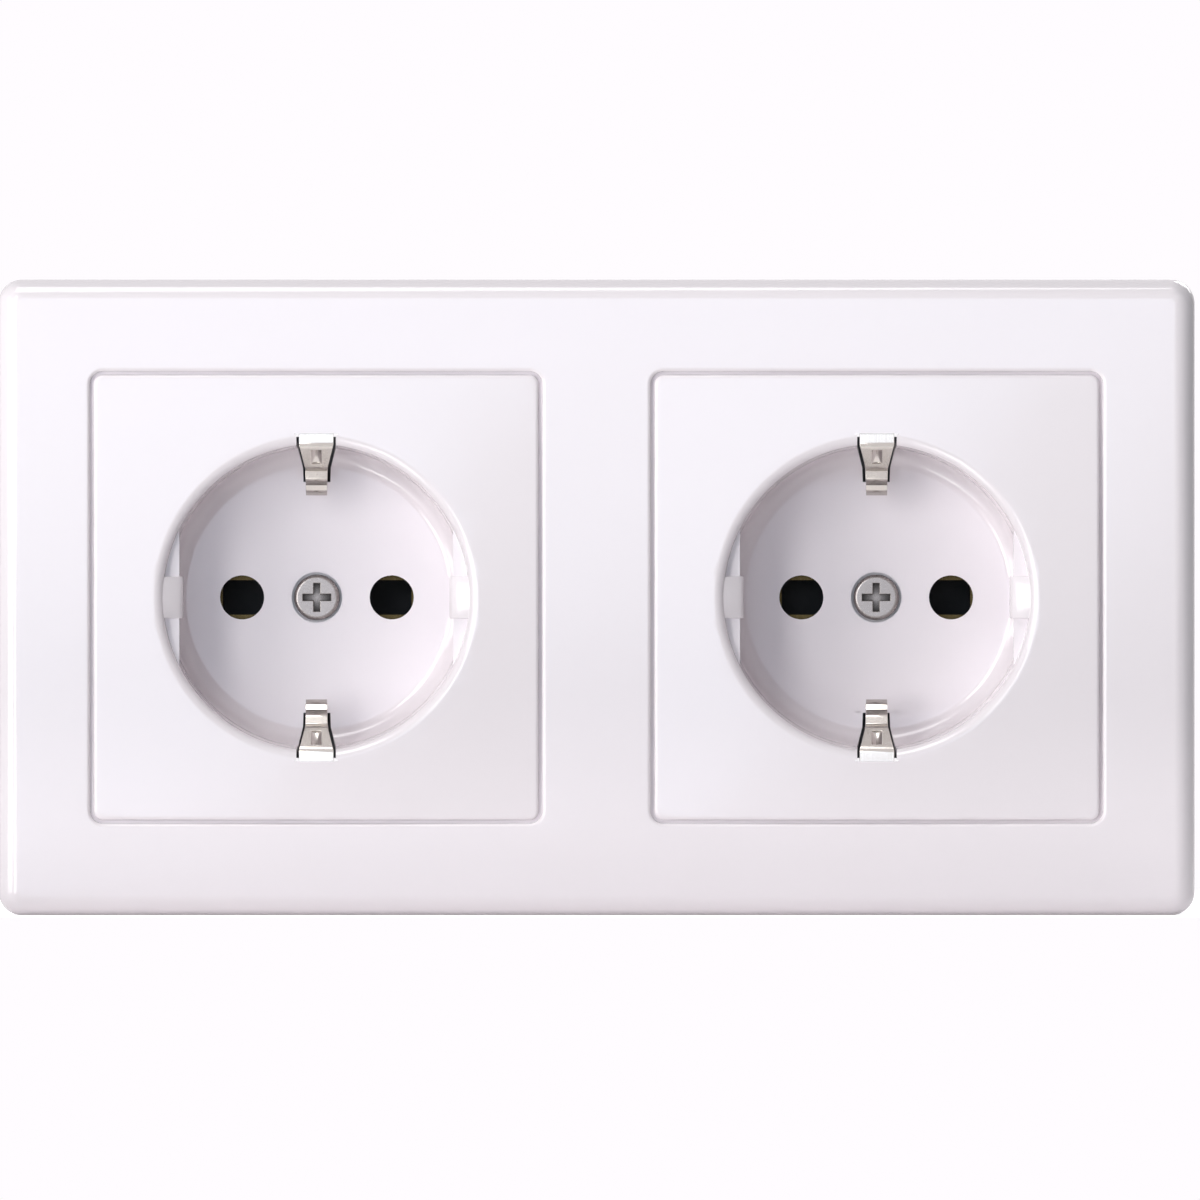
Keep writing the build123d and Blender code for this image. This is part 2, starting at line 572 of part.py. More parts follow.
def button_bar(gap, bottom, top):
    """The square bar of a release button, or its window when a gap is added."""
    half_u = BUTTON_DEPTH / 2 + gap
    half_v = BUTTON_WIDTH / 2 + gap
    return block(WIRE_REACH - half_u, WIRE_REACH + half_u, -half_v, half_v, bottom, top)


def release_button():
    """Push button with a flange inside the cover and a wedge foot under the spring's tongue."""
    flange_z = cell_back_z + BUTTON_FLANGE_HEIGHT
    foot_z = flange_z + BUTTON_FOOT_HEIGHT
    near = WIRE_REACH - BUTTON_DEPTH / 2
    far = WIRE_REACH + BUTTON_DEPTH / 2
    half = BUTTON_WIDTH / 2 + BUTTON_FLANGE
    button = button_bar(0, cover_back_z - BUTTON_PROUD, flange_z)
    button += block(near, far, -half, half, cell_back_z, flange_z)
    turn, tip = (Vector(u, 0, z) for u, z in spring_line()[2:])
    tongue = (tip - turn).normalized()
    away = Vector(0, 1, 0).cross(tongue)
    start = turn - away * (SPRING_SHEET / 2 + BUTTON_FOOT_GAP)
    low = start.X + tongue.X * (flange_z - start.Z) / tongue.Z
    high = start.X + tongue.X * (foot_z - start.Z) / tongue.Z
    profile = Polyline((near, flange_z), (low, flange_z), (high, foot_z), (near, foot_z), close=True)
    return button + extrude(Plane.XZ * make_face(profile), BUTTON_WIDTH / 2, both=True)


def claw():
    """Right-hand spreading claw: two cheeks on trunnions, pads for the nut, a toothed end plate."""
    pivot_z = -CLAW_PIVOT_DEPTH
    end_z = pivot_z - CLAW_LENGTH
    crest = pivot_z + CLAW_PAD_RADIUS
    back = claw_screw_x + CLAW_PAD_RADIUS
    beyond = back + CLAW_TOOTH + overcut
    line = Polyline(
        (claw_nose_x, crest),
        (back, crest),
        (back + CLAW_TOOTH, end_z + CLAW_SHEET),
        (back, end_z),
        (claw_pivot_x + CLAW_SHEET, end_z),
        (claw_nose_x, pivot_z - CLAW_PAD_RADIUS),
        close=True,
    )
    profile = make_face(line)
    profile = fillet(profile.vertices().sort_by(Axis.Y)[-2:], CLAW_CORNER)
    solid = extrude(Plane.XZ * profile, claw_outer, both=True)
    nose = claw_nose_x - overcut
    inside = block(nose, beyond, -claw_inner, claw_inner, end_z + CLAW_SHEET, crest + overcut)
    pads = Pos(claw_screw_x, 0, pivot_z) * Rot(90, 0, 0) * Cylinder(CLAW_PAD_RADIUS, 2 * claw_inner)
    gap = CLAW_SCREW_RADIUS + CLAW_SCREW_GAP
    pads -= block(nose, beyond, -gap, gap, end_z, crest + overcut)
    pins = trunnion_bar(2 * lug_outer, TRUNNION_RADIUS) - inside
    return solid - inside + pads + pins


def claw_nut():
    """Square nut between the right claw's cheeks."""
    half = NUT_SIZE / 2
    back_z = nut_front_z - NUT_HEIGHT
    body = block(claw_screw_x - half, claw_screw_x + half, -half, half, back_z, nut_front_z)
    bore = CLAW_SCREW_RADIUS + THREAD_GAP
    return body - rod(claw_screw_x, 0, back_z - overcut, nut_front_z + overcut, bore)


def claw_screw():
    """Slotted cheese-head screw of the right claw."""
    top = ring_front_z + CLAW_SCREW_HEAD_HEIGHT
    head = rod(claw_screw_x, 0, ring_front_z, top, CLAW_SCREW_HEAD_RADIUS)
    slot = Box(2 * CLAW_SCREW_HEAD_RADIUS + overcut, CLAW_SCREW_SLOT, CLAW_SCREW_HEAD_HEIGHT)
    head -= Pos(claw_screw_x, 0, top) * slot
    end_z = ring_front_z - CLAW_SCREW_LENGTH
    return head + rod(claw_screw_x, 0, end_z, ring_front_z, CLAW_SCREW_RADIUS)


def insert_pieces(side):
    """All pieces of one insert by name, about its own centre."""
    pieces = {
        "central_plate": central_plate(),
        "central_screw": central_screw(),
        "support_ring": support_ring(),
        "ring_rivets": ring_rivets(),
        "contact_carrier": contact_carrier(),
        "terminal_cover": terminal_cover(),
        "housing_rivets": housing_rivets(),
        "earth_bracket": earth_bracket(),
        "earth_terminal": earth_terminal(),
        "neutral_contact": pin_contact(),
        "line_contact": mirror(pin_contact(), Plane.YZ),
    }
    for pole, place in cell_places().items():
        pieces[pole + "_clamp_spring"] = place * clamp_spring()
        pieces[pole + "_release_button"] = place * release_button()
    right, left = ("outer", "inner") if side > 0 else ("inner", "outer")
    for name, piece in {"claw": claw(), "claw_nut": claw_nut(), "claw_screw": claw_screw()}.items():
        pieces[f"{right}_{name}"] = piece
        pieces[f"{left}_{name}"] = mirror(piece, Plane.YZ)
    return pieces


def write(name, piece):
    """Stand a piece up on the wall and save it."""
    export_step(Rot(90, 0, 0) * piece, f"parts/{name}.step")


os.makedirs("parts", exist_ok=True)
write("cover_frame", cover_frame())
for gang_name, gang_side in GANG_SIDES.items():
    for piece_name, piece in insert_pieces(gang_side).items():
        write(f"{gang_name}_{piece_name}", Pos(gang_side * GANG_PITCH / 2, 0, 0) * piece)
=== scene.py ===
"""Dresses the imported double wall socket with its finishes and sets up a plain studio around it."""
import math

import bmesh
import bpy
from bpy.props import FloatProperty, FloatVectorProperty, PointerProperty
from bpy.types import Operator, Panel, PropertyGroup
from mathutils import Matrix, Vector


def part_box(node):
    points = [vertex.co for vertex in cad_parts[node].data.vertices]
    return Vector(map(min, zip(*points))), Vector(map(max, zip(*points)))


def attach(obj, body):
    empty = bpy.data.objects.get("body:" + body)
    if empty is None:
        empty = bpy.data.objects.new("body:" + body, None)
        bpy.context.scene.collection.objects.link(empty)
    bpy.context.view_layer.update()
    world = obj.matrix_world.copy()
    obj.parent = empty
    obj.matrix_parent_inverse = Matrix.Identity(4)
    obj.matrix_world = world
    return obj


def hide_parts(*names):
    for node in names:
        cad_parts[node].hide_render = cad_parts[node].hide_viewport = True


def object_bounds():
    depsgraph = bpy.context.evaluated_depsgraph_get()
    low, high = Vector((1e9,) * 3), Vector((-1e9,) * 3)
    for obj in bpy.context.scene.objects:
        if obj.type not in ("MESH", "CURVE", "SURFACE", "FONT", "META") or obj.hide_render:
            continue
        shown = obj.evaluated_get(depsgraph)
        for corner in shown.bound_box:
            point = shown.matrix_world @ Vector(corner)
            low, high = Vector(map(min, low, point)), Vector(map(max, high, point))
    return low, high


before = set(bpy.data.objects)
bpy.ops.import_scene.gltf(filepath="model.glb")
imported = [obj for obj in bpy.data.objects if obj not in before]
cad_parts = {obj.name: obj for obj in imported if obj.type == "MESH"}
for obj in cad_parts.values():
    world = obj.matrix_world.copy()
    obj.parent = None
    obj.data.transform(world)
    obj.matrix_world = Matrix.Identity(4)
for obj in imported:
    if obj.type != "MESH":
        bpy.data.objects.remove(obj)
CAD_LOW, CAD_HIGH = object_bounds()

bl_info = {
    "name": "Double Wall Socket",
    "version": (1, 0, 0),
    "blender": (4, 5, 0),
    "location": "3D View > Sidebar > Wall Socket",
    "description": "Finishes, added detail and studio of a double wall socket with side earth contacts",
    "category": "Object",
}

MM = 0.001
Y_AXIS, Z_AXIS = 1, 2
GANGS = ("left", "right")
POLES = ("line", "neutral", "earth")
CLAWS = ("outer", "inner")

# Finishes that more than one operator uses.
WHITE_FINISH = "polished_moulded_polycarbonate"
ZINC_FINISH = "blue_passivated_zinc"

# The plug well as in the solids: millimetres from its axis, and depths below its mouth.
WELL_RADIUS = 19.4
WELL_DEPTH = 17.5
WELL_DRAFT = math.radians(1.2)
WELL_LEAD_IN = 1.25
WELL_FLOOR_FILLET = 2.5
# A window for an earth contact: half its width, and its two ends from the well's axis.
WINDOW_HALF = 2.75
WINDOW_INNER = 14.65
WINDOW_OUTER = 20.75
# Half widths of an earth contact at the well's wall and at its tongue, and where the tongue starts.
CONTACT_WIDE = 2.2
CONTACT_NARROW = 1.4
CONTACT_SHOULDER = 16.3
# A guide ramp's section: its root in the well's wall, its slope from there to its upright face, as
# distance from the axis and depth, and how far its foot is sunk into the floor.
RAMP_ROOT = 19.75
RAMP_FACE = 16.88
RAMP_SLOPE = ((RAMP_ROOT, 0.62), (17.2, 2.25), (RAMP_FACE, 2.7))
RAMP_SINK = 0.1
# The plate's corner centres, its corner radius and that of the frame's opening, and the frame's ledge.
PLATE_CORNER_AT = 27.0
PLATE_CORNER = 1.2
OPENING_CORNER = 1.6
LEDGE_DEPTH = 4.83

# Straight steps in the well's fillet and lead-in, and in a corner of the plate.
FILLET_STEPS = 9
LEAD_IN_STEPS = 7
CORNER_STEPS = 6
# Points on each half of a claw screw's head, rings in a turn of its thread, and steps over an edge.
HEAD_POINTS = 13
THREAD_RINGS = 6
EDGE_STEPS = 2
# Up to these angles faces count as one flat, as one smooth surface, and as not worth an edge.
FLAT_ANGLE = math.radians(0.5)
SMOOTH_ANGLE = math.radians(35)
EDGE_ANGLE = math.radians(40)
WELD_DISTANCE = 0.001  # millimetres

# Painted shade in the central screw's recess: its colour, its reach in millimetres and how sharply it
# ends.
RECESS_SHADE_COLOUR = "#1E1C1B"
RECESS_SHADE_REACH = 0.9
RECESS_SHADE_FALL = 2.5

# Studio in metres: the paper's half width and depth behind the wall, and its lip before the wall.
PAPER_REACH = 0.5
PAPER_LIP = 0.05
# Surroundings: colour and strength as a light, and as seen by the eye and in reflections.
FILL_COLOUR, FILL_STRENGTH = "#F0F6FF", 0.13
SEEN_COLOUR, SEEN_STRENGTH = "#FFFCFF", 1.0
PANEL_COLOUR = "#DDECFF"
# Camera: sensor in millimetres, farthest thing shown in metres, and how far right and up of the
# frame's centre the picture's centre lies, in millimetres.
SENSOR_WIDTH = 36
VIEW_REACH = 50
AIM_RIGHT, AIM_UP = 0.44, -0.33


def linear(hex_colour):
    """An sRGB hex colour as linear red, green and blue."""
    values = [int(hex_colour[i:i + 2], 16) / 255 for i in (1, 3, 5)]
    return tuple(v / 12.92 if v <= 0.04045 else ((v + 0.055) / 1.055) ** 2.4 for v in values)


def tinted(colour, *shares):
    """A linear colour times one share, or one for each channel, with full alpha."""
    shares = shares * 3 if len(shares) == 1 else shares
    return (*[min(part * share, 1) for part, share in zip(colour, shares)], 1)


def per_mm(size):
    """Texture scale that gives a pattern of that size in millimetres."""
    return 1 / (size * MM)


def add(tree, kind, inputs=None, links=None, **settings):
    """Add one node with its settings, its socket values and its incoming links."""
    made = tree.nodes.new(kind)
    for name, value in settings.items():
        setattr(made, name, value)
    for name, value in (inputs or {}).items():
        made.inputs[name].default_value = value
    for name, source in (links or {}).items():
        tree.links.new(source, made.inputs[name])
    return made


def new_material(name, colour, metallic, roughness):
    """A material with one shader; returns it with its tree, its shader and the object coordinates."""
    material = bpy.data.materials.new(name)
    material.use_nodes = True
    tree = material.node_tree
    tree.nodes.clear()
    shader = add(tree, "ShaderNodeBsdfPrincipled", {"Metallic": metallic, "Roughness": roughness})
    shader.inputs["Base Color"].default_value = tinted(colour, 1)
    material.diffuse_color = tinted(colour, 1)
    add(tree, "ShaderNodeOutputMaterial", links={"Surface": shader.outputs["BSDF"]})
    place = add(tree, "ShaderNodeTexCoord").outputs["Object"]
    return material, tree, shader, place


def made_finish(name):
    """A finish that an earlier operator has made."""
    material = bpy.data.materials.get(name)
    if material is None:
        raise RuntimeError(f"{name} isn't made yet: the operators run in the panel's order")
    return material


def gloss_white_polycarbonate(looks):
    """Injection-moulded white polycarbonate from a polished tool."""
    # A polished tool leaves a clear gloss with the faint waviness of shrinkage and hardly any
    # change of tone.
    roughness = looks.white_gloss
    material, tree, shader, place = new_material(WHITE_FINISH, looks.white, 0, roughness)
    shader.inputs["IOR"].default_value = 1.58
    # Flow of the melt: soft clouds of tone some 35 mm across.
    flow = add(tree, "ShaderNodeTexNoise", {"Scale": per_mm(35), "Detail": 2}, {"Vector": place})
    tone = add(tree, "ShaderNodeMix", data_type="RGBA", links={"Factor": flow.outputs["Fac"]})
    tone.inputs["A"].default_value = tinted(looks.white, 0.984)
    tone.inputs["B"].default_value = tinted(looks.white, 1.012)
    tree.links.new(tone.outputs["Result"], shader.inputs["Base Color"])
    # Handling leaves the gloss a little uneven over some 9 mm.
    handling = add(tree, "ShaderNodeTexNoise", {"Scale": per_mm(9), "Detail": 4}, {"Vector": place})
    gloss = add(tree, "ShaderNodeMapRange",
                {"To Min": roughness * 0.85, "To Max": roughness * 1.25},
                {"Value": handling.outputs["Fac"]})
    tree.links.new(gloss.outputs["Result"], shader.inputs["Roughness"])
    # Shrinkage waviness with a wavelength of 6 mm.
    wave = add(tree, "ShaderNodeTexNoise", {"Scale": per_mm(6), "Detail": 1}, {"Vector": place})
    relief = add(tree, "ShaderNodeBump", {"Strength": 0.05, "Distance": 0.02 * MM},
                 {"Height": wave.outputs["Fac"]})
    tree.links.new(relief.outputs["Normal"], shader.inputs["Normal"])
    return material


def eroded_polyamide(name, colour, roughness):
    """Moulded polyamide from a spark-eroded tool."""
    # Spark erosion leaves a dull, finely pitted skin that breaks up every highlight.
    material, tree, shader, place = new_material(name, colour, 0, roughness)
    shader.inputs["IOR"].default_value = 1.53
    # The real pits are about 0.08 mm; they are drawn at 0.45 mm so that they show.
    pits = add(tree, "ShaderNodeTexNoise", {"Scale": per_mm(0.45), "Detail": 3, "Roughness": 0.6},
               {"Vector": place})
    relief = add(tree, "ShaderNodeBump", {"Strength": 0.35, "Distance": 0.05 * MM},
                 {"Height": pits.outputs["Fac"]})
    tree.links.new(relief.outputs["Normal"], shader.inputs["Normal"])
    # Pale scuffs and glass-fibre flow marks some 4 mm long.
    flow = add(tree, "ShaderNodeTexNoise", {"Scale": per_mm(4), "Detail": 5}, {"Vector": place})
    tone = add(tree, "ShaderNodeMix", data_type="RGBA", links={"Factor": flow.outputs["Fac"]})
    tone.inputs["A"].default_value = tinted(colour, 0.75)
    tone.inputs["B"].default_value = tinted(colour, 1.3)
    tree.links.new(tone.outputs["Result"], shader.inputs["Base Color"])
    dull = add(tree, "ShaderNodeMapRange",
               {"To Min": roughness * 0.8, "To Max": min(roughness * 1.2, 1)},
               {"Value": flow.outputs["Fac"]})
    tree.links.new(dull.outputs["Result"], shader.inputs["Roughness"])
    return material


def rolled_strip(name, colour, roughness, along):
    """Rolled metal strip, plated or bare, stamped and bent."""
    # Rolling leaves fine lines along the strip, so highlights smear across it.
    material, tree, shader, place = new_material(name, colour, 1, roughness)
    # The lines are 0.05 mm apart on the strip; they are drawn at 0.25 mm so that they show, and
    # each is some 9 mm long.
    squeeze = [per_mm(0.25)] * 3
    squeeze[along] = per_mm(9)
    stretch = add(tree, "ShaderNodeMapping", {"Scale": squeeze}, {"Vector": place})
    lines = add(tree, "ShaderNodeTexNoise", {"Scale": 1, "Detail": 3},
                {"Vector": stretch.outputs["Vector"]})
    relief = add(tree, "ShaderNodeBump", {"Strength": 0.25, "Distance": 0.01 * MM},
                 {"Height": lines.outputs["Fac"]})
    tree.links.new(relief.outputs["Normal"], shader.inputs["Normal"])
    # Stains and tarnish: slightly darker clouds 5 mm across.
    stain = add(tree, "ShaderNodeTexNoise", {"Scale": per_mm(5), "Detail": 4}, {"Vector": place})
    tone = add(tree, "ShaderNodeMix", data_type="RGBA", links={"Factor": stain.outputs["Fac"]})
    tone.inputs["A"].default_value = tinted(colour, 0.86)
    tone.inputs["B"].default_value = tinted(colour, 1.08)
    tree.links.new(tone.outputs["Result"], shader.inputs["Base Color"])
    dull = add(tree, "ShaderNodeMapRange", {"To Min": roughness * 0.7, "To Max": roughness * 1.4},
               {"Value": lines.outputs["Fac"]})
    tree.links.new(dull.outputs["Result"], shader.inputs["Roughness"])
    return material


def paint_recess_shade(material):
    """Painted shade: darkens the narrow recesses of a finish towards a dark colour, where little light
    reaches.
    """
    tree = material.node_tree
    base = tree.nodes["Principled BSDF"].inputs["Base Color"]
    clear = base.links[0].from_socket
    # Painted shade: ambient occlusion blends the base colour towards a near black in the recesses.
    hollow = add(tree, "ShaderNodeAmbientOcclusion", {"Distance": RECESS_SHADE_REACH * MM},
                 {"Color": clear}, samples=8)
    depth = add(tree, "ShaderNodeMath", {1: RECESS_SHADE_FALL}, {0: hollow.outputs["AO"]},
                operation="POWER")
    painted_shade = add(tree, "ShaderNodeMix", data_type="RGBA",
                links={"Factor": depth.outputs["Value"], "B": clear})
    painted_shade.inputs["A"].default_value = tinted(linear(RECESS_SHADE_COLOUR), 1)
    tree.links.new(painted_shade.outputs["Result"], base)


def zinc_plated_steel(looks):
    """Stamped and turned steel with blue-passivated zinc."""
    # Bright zinc with a bluish veil that turns yellowish in patches, and small dull spots.
    material, tree, shader, place = new_material(ZINC_FINISH, looks.zinc, 1, 0.34)
    # The veil changes over some 7 mm.
    veil = add(tree, "ShaderNodeTexNoise", {"Scale": per_mm(7), "Detail": 3, "Distortion": 0.6},
               {"Vector": place})
    tint = add(tree, "ShaderNodeValToRGB", links={"Fac": veil.outputs["Fac"]})
    bluish, yellowish = tint.color_ramp.elements
    bluish.position, bluish.color = 0.3, tinted(looks.zinc, 0.86, 0.93, 1.06)
    yellowish.position, yellowish.color = 0.72, tinted(looks.zinc, 1.08, 1.04, 0.92)
    tree.links.new(tint.outputs["Color"], shader.inputs["Base Color"])
    # The crystals of the coating are about 0.05 mm; they are drawn at 0.35 mm so that they show.
    crystals = add(tree, "ShaderNodeTexVoronoi", {"Scale": per_mm(0.35)}, {"Vector": place})
    dull = add(tree, "ShaderNodeMapRange", {"To Min": 0.26, "To Max": 0.46},
               {"Value": crystals.outputs["Distance"]})
    tree.links.new(dull.outputs["Result"], shader.inputs["Roughness"])
    relief = add(tree, "ShaderNodeBump", {"Strength": 0.2, "Distance": 0.015 * MM},
                 {"Height": crystals.outputs["Distance"]})
    tree.links.new(relief.outputs["Normal"], shader.inputs["Normal"])
    return material


def seen_directly(tree):
    """One for rays from the camera, in mirrors and through glass, nought for light on things."""
    rays = add(tree, "ShaderNodeLightPath").outputs
    mirrored = add(tree, "ShaderNodeMath", operation="ADD",
                   links={0: rays["Is Camera Ray"], 1: rays["Is Glossy Ray"]})
    seen = add(tree, "ShaderNodeMath", operation="ADD", use_clamp=True,
               links={0: mirrored.outputs["Value"], 1: rays["Is Transmission Ray"]})
    return seen.outputs["Value"]


def matt_white_paper(looks):
    """White studio paper under the socket."""
    # Matt, with a fibre too faint to see from a step away; it is bright to the camera and keeps
    # the shadow.
    material, tree, shader, place = new_material("matt_white_paper", looks.paper, 0, 0.9)
    # Clumps of fibre some 3 mm across.
    fibre = add(tree, "ShaderNodeTexNoise", {"Scale": per_mm(3), "Detail": 3}, {"Vector": place})
    relief = add(tree, "ShaderNodeBump", {"Strength": 0.1, "Distance": 0.05 * MM},
                 {"Height": fibre.outputs["Fac"]})
    tree.links.new(relief.outputs["Normal"], shader.inputs["Normal"])
    shine = add(tree, "ShaderNodeMath", {1: looks.paper_glow}, {0: seen_directly(tree)},
                operation="MULTIPLY")
    shader.inputs["Emission Color"].default_value = tinted(looks.paper, 1)
    tree.links.new(shine.outputs["Value"], shader.inputs["Emission Strength"])
    return material


def round_edges(node, width):
    """Join the facets of a node, round its sharp edges by a width and even out its shading."""
    node.modifiers.new("join", "WELD").merge_threshold = WELD_DISTANCE * MM
    if width:
        flats = node.modifiers.new("flats", "DECIMATE")
        flats.decimate_type = "DISSOLVE"
        flats.angle_limit = FLAT_ANGLE
        edge = node.modifiers.new("edge", "BEVEL")
        edge.width = width
        edge.segments = EDGE_STEPS
        edge.angle_limit = EDGE_ANGLE
        edge.harden_normals = False
    split = node.modifiers.new("split", "EDGE_SPLIT")
    split.split_angle = SMOOTH_ANGLE
    split.use_edge_sharp = False
    node.modifiers.new("shade", "WEIGHTED_NORMAL").keep_sharp = False


def dress(names, material, edge_width=0.0):
    """Give nodes a finish and their edge rounding."""
    for name in names:
        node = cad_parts[name]
        if not node.material_slots:
            raise RuntimeError(f"{name} has no material slot")
        for slot in node.material_slots:
            slot.material = material
        round_edges(node, edge_width)


def each(*pieces):
    """Node names of those pieces in both gangs."""
    return [f"{gang}_{piece}" for gang in GANGS for piece in pieces]


def skin(form, rows):
    """Join closed rows of points with faces, each row to the next."""
    for upper, lower in zip(rows, rows[1:]):
        for i in range(len(upper)):
            j = (i + 1) % len(upper)
            form.faces.new((upper[i], upper[j], lower[j], lower[i]))


def lofted(form, loops, ring=False):
    """Skin closed loops of points in order; the ends are capped, or joined to make a ring."""
    rows = [[form.verts.new(point) for point in loop] for loop in loops]
    if ring:
        skin(form, rows + rows[:1])
    else:
        skin(form, rows)
        form.faces.new(rows[0])
        form.faces.new(rows[-1])


def new_piece(name, form, material, body):
    """Make a piece of a finished form; it moves with a body and takes a finish."""
    bmesh.ops.recalc_face_normals(form, faces=form.faces)
    mesh = bpy.data.meshes.new(name)
    form.to_mesh(mesh)
    form.free()
    mesh.shade_smooth()
    mesh.set_sharp_from_angle(angle=EDGE_ANGLE)
    mesh.materials.append(material)
    made = bpy.data.objects.new(name, mesh)
    bpy.context.scene.collection.objects.link(made)
    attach(made, body)
    return made


def well_section():
    """Section of the well from floor to mouth: radius, depth and the direction into the wall."""
    slope = math.tan(WELL_DRAFT)
    quarter = math.pi / 2 - WELL_DRAFT
    points = [(WINDOW_INNER, WELL_DEPTH, 0.0, 1.0)]
    centre_depth = WELL_DEPTH - WELL_FLOOR_FILLET
    centre = WELL_RADIUS - centre_depth * slope - WELL_FLOOR_FILLET / math.cos(WELL_DRAFT)
    for step in range(FILLET_STEPS + 1):
        angle = quarter * step / FILLET_STEPS
        out, down = math.sin(angle), math.cos(angle)
        points.append((centre + WELL_FLOOR_FILLET * out, centre_depth + WELL_FLOOR_FILLET * down,
                       out, down))
    centre = WELL_RADIUS - WELL_LEAD_IN * slope + WELL_LEAD_IN / math.cos(WELL_DRAFT)
    for step in range(LEAD_IN_STEPS + 1):
        angle = quarter * (1 - step / LEAD_IN_STEPS)
        out, down = math.sin(angle), math.cos(angle)
        points.append((centre - WELL_LEAD_IN * out, WELL_LEAD_IN - WELL_LEAD_IN * down, out, down))
    return points + [(WINDOW_OUTER, 0.0, 0.0, 1.0)]


def window_cheeks(place, sizes):
    """The cheeks that narrow the plate's windows to the outline of the earth contacts."""
    form = bmesh.new()
    gap, wall = sizes.window_gap / MM, sizes.cheek_wall / MM
    for side in (-1, 1):
        for end in (-1, 1):
            loops = []
            for radius, depth, out, down in well_section():
                taper = (radius - CONTACT_SHOULDER) / (WELL_RADIUS - CONTACT_SHOULDER)
                widening = (CONTACT_WIDE - CONTACT_NARROW) * min(max(taper, 0), 1)
                near, far = CONTACT_NARROW + widening + gap, WINDOW_HALF
                across = [near, (near + far) / 2, far]
                inner, back = radius + wall * out, depth + wall * down
                loop = [(x, depth, math.sqrt(radius ** 2 - x ** 2)) for x in across]
                loop += [(x, back, math.sqrt(inner ** 2 - x ** 2)) for x in reversed(across)]
                loops.append([place + Vector((side * x, y, end * z)) * MM for x, y, z in loop])
            lofted(form, loops)
    return form


def guide_ramps(place, sizes):
    """The ramps that lead a plug between the guide flats, one at each side of the well."""
    form = bmesh.new()
    foot = WELL_DEPTH + RAMP_SINK
    section = [*RAMP_SLOPE, (RAMP_FACE, foot), (RAMP_ROOT, foot)]
    half = sizes.ramp_width / MM / 2
    for side in (-1, 1):
        lofted(form, [[place + Vector((side * x, depth, z)) * MM for x, depth in section]
                      for z in (-half, half)])
    bmesh.ops.bevel(form, geom=form.edges[:], offset=sizes.stamped_edge, segments=EDGE_STEPS,
                    affect="EDGES", profile=0.5)
    return form


def groove_step(place, sizes):
    """The step on the plate's skirt that closes the groove between plate and frame."""
    form = bmesh.new()
    front = sizes.groove_depth / MM
    section = ((OPENING_CORNER, front), (PLATE_CORNER, front),
               (PLATE_CORNER, LEDGE_DEPTH), (OPENING_CORNER, LEDGE_DEPTH))
    loops = []
    for corner in range(4):
        middle = math.radians(45 + 90 * corner)
        x = math.copysign(PLATE_CORNER_AT, math.cos(middle))
        z = math.copysign(PLATE_CORNER_AT, math.sin(middle))
        for step in range(CORNER_STEPS + 1):
            turn = math.radians(90 * corner + 90 * step / CORNER_STEPS)
            loops.append([place + Vector((x + reach * math.cos(turn), depth,
                                          z + reach * math.sin(turn))) * MM
                          for reach, depth in section])
    lofted(form, loops, ring=True)
    return form


def thread_radius(sizes, run, left, angle):
    """Radius of a cut thread at a distance from its start, a distance from its end and an angle."""
    pitch = sizes.thread_pitch
    turn = (run / pitch + angle / math.tau) % 1
    rise = (abs(2 * turn - 1) - sizes.thread_flat) / (1 - 2 * sizes.thread_flat)
    crest = min(max(rise, 0), 1) * min(run / pitch, left / pitch, 1)
    return sizes.thread_radius - sizes.thread_depth + sizes.thread_depth * crest


def turned_ring(form, middle, level, angles, radii):
    """One turn of points around a screw's axis."""
    return [form.verts.new((middle.x + radius * math.cos(angle), level,
                            middle.z + radius * math.sin(angle)))
            for angle, radius in zip(angles, radii)]


def slotted_head(form, front, rear, floor):
    """Close a head between two rings, with a slot down to a floor; returns the halves of its front."""
    half = len(front) // 2
    ends = [(front[i], rear[i]) for i in (0, half - 1, half, 2 * half - 1)]
    # The slot: a floor, two walls and two open ends between the halves of the head.
    deep = [form.verts.new((top.co.x, floor, top.co.z)) for top, foot in ends]
    form.faces.new(deep)
    for i in (0, 2):
        form.faces.new((ends[i][0], ends[i + 1][0], deep[i + 1], deep[i]))
        across = (i + 2) % 4
        form.faces.new((deep[i + 1], deep[across], ends[across][1], ends[i + 1][1]))
    tops = [form.faces.new(front[start:start + half]) for start in (0, half)]
    for part, start in enumerate((0, half)):
        for i in range(start, start + half - 1):
            skirt = [front[i], front[i + 1], rear[i + 1], rear[i]]
            if i == start + half - 2:
                skirt.insert(2, deep[2 * part + 1])
            if i == start:
                skirt.append(deep[2 * part])
            form.faces.new(skirt)
    return tops


def threaded_screw(node, sizes):
    """A slotted screw with its thread, where the solid is a plain rod; the head faces the room."""
    low, high = (Vector(corner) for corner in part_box(node))
    middle = (low + high) / 2
    head = (high.x - low.x) / 2
    back = low.y + sizes.screw_head
    floor = low.y + sizes.screw_head / 2
    # Angles around the axis, with the slot's mouths left out.
    tilt = math.asin(sizes.screw_slot / 2 / head)
    half = [tilt + (math.pi - 2 * tilt) * i / (HEAD_POINTS - 1) for i in range(HEAD_POINTS)]
    angles = half + [angle + math.pi for angle in half]
    form = bmesh.new()
    front, rear = (turned_ring(form, middle, level, angles, [head] * len(angles))
                   for level in (low.y, back))
    tops = slotted_head(form, front, rear, floor)
    # The shank: rings whose radius follows the thread, from the head's back to the tip.
    rows = [rear]
    shank = high.y - back
    count = round(shank / sizes.thread_pitch * THREAD_RINGS)
    for row in range(count + 1):
        run = shank * row / count
        radii = [thread_radius(sizes, run, shank - run, angle) for angle in angles]
        rows.append(turned_ring(form, middle, back + run, angles, radii))
    skin(form, rows)
    form.faces.new(rows[-1])
    rims = [edge for top in tops for edge in top.edges]
    bmesh.ops.bevel(form, geom=rims, offset=sizes.stamped_edge, segments=EDGE_STEPS,
                    affect="EDGES", profile=0.5)
    return form


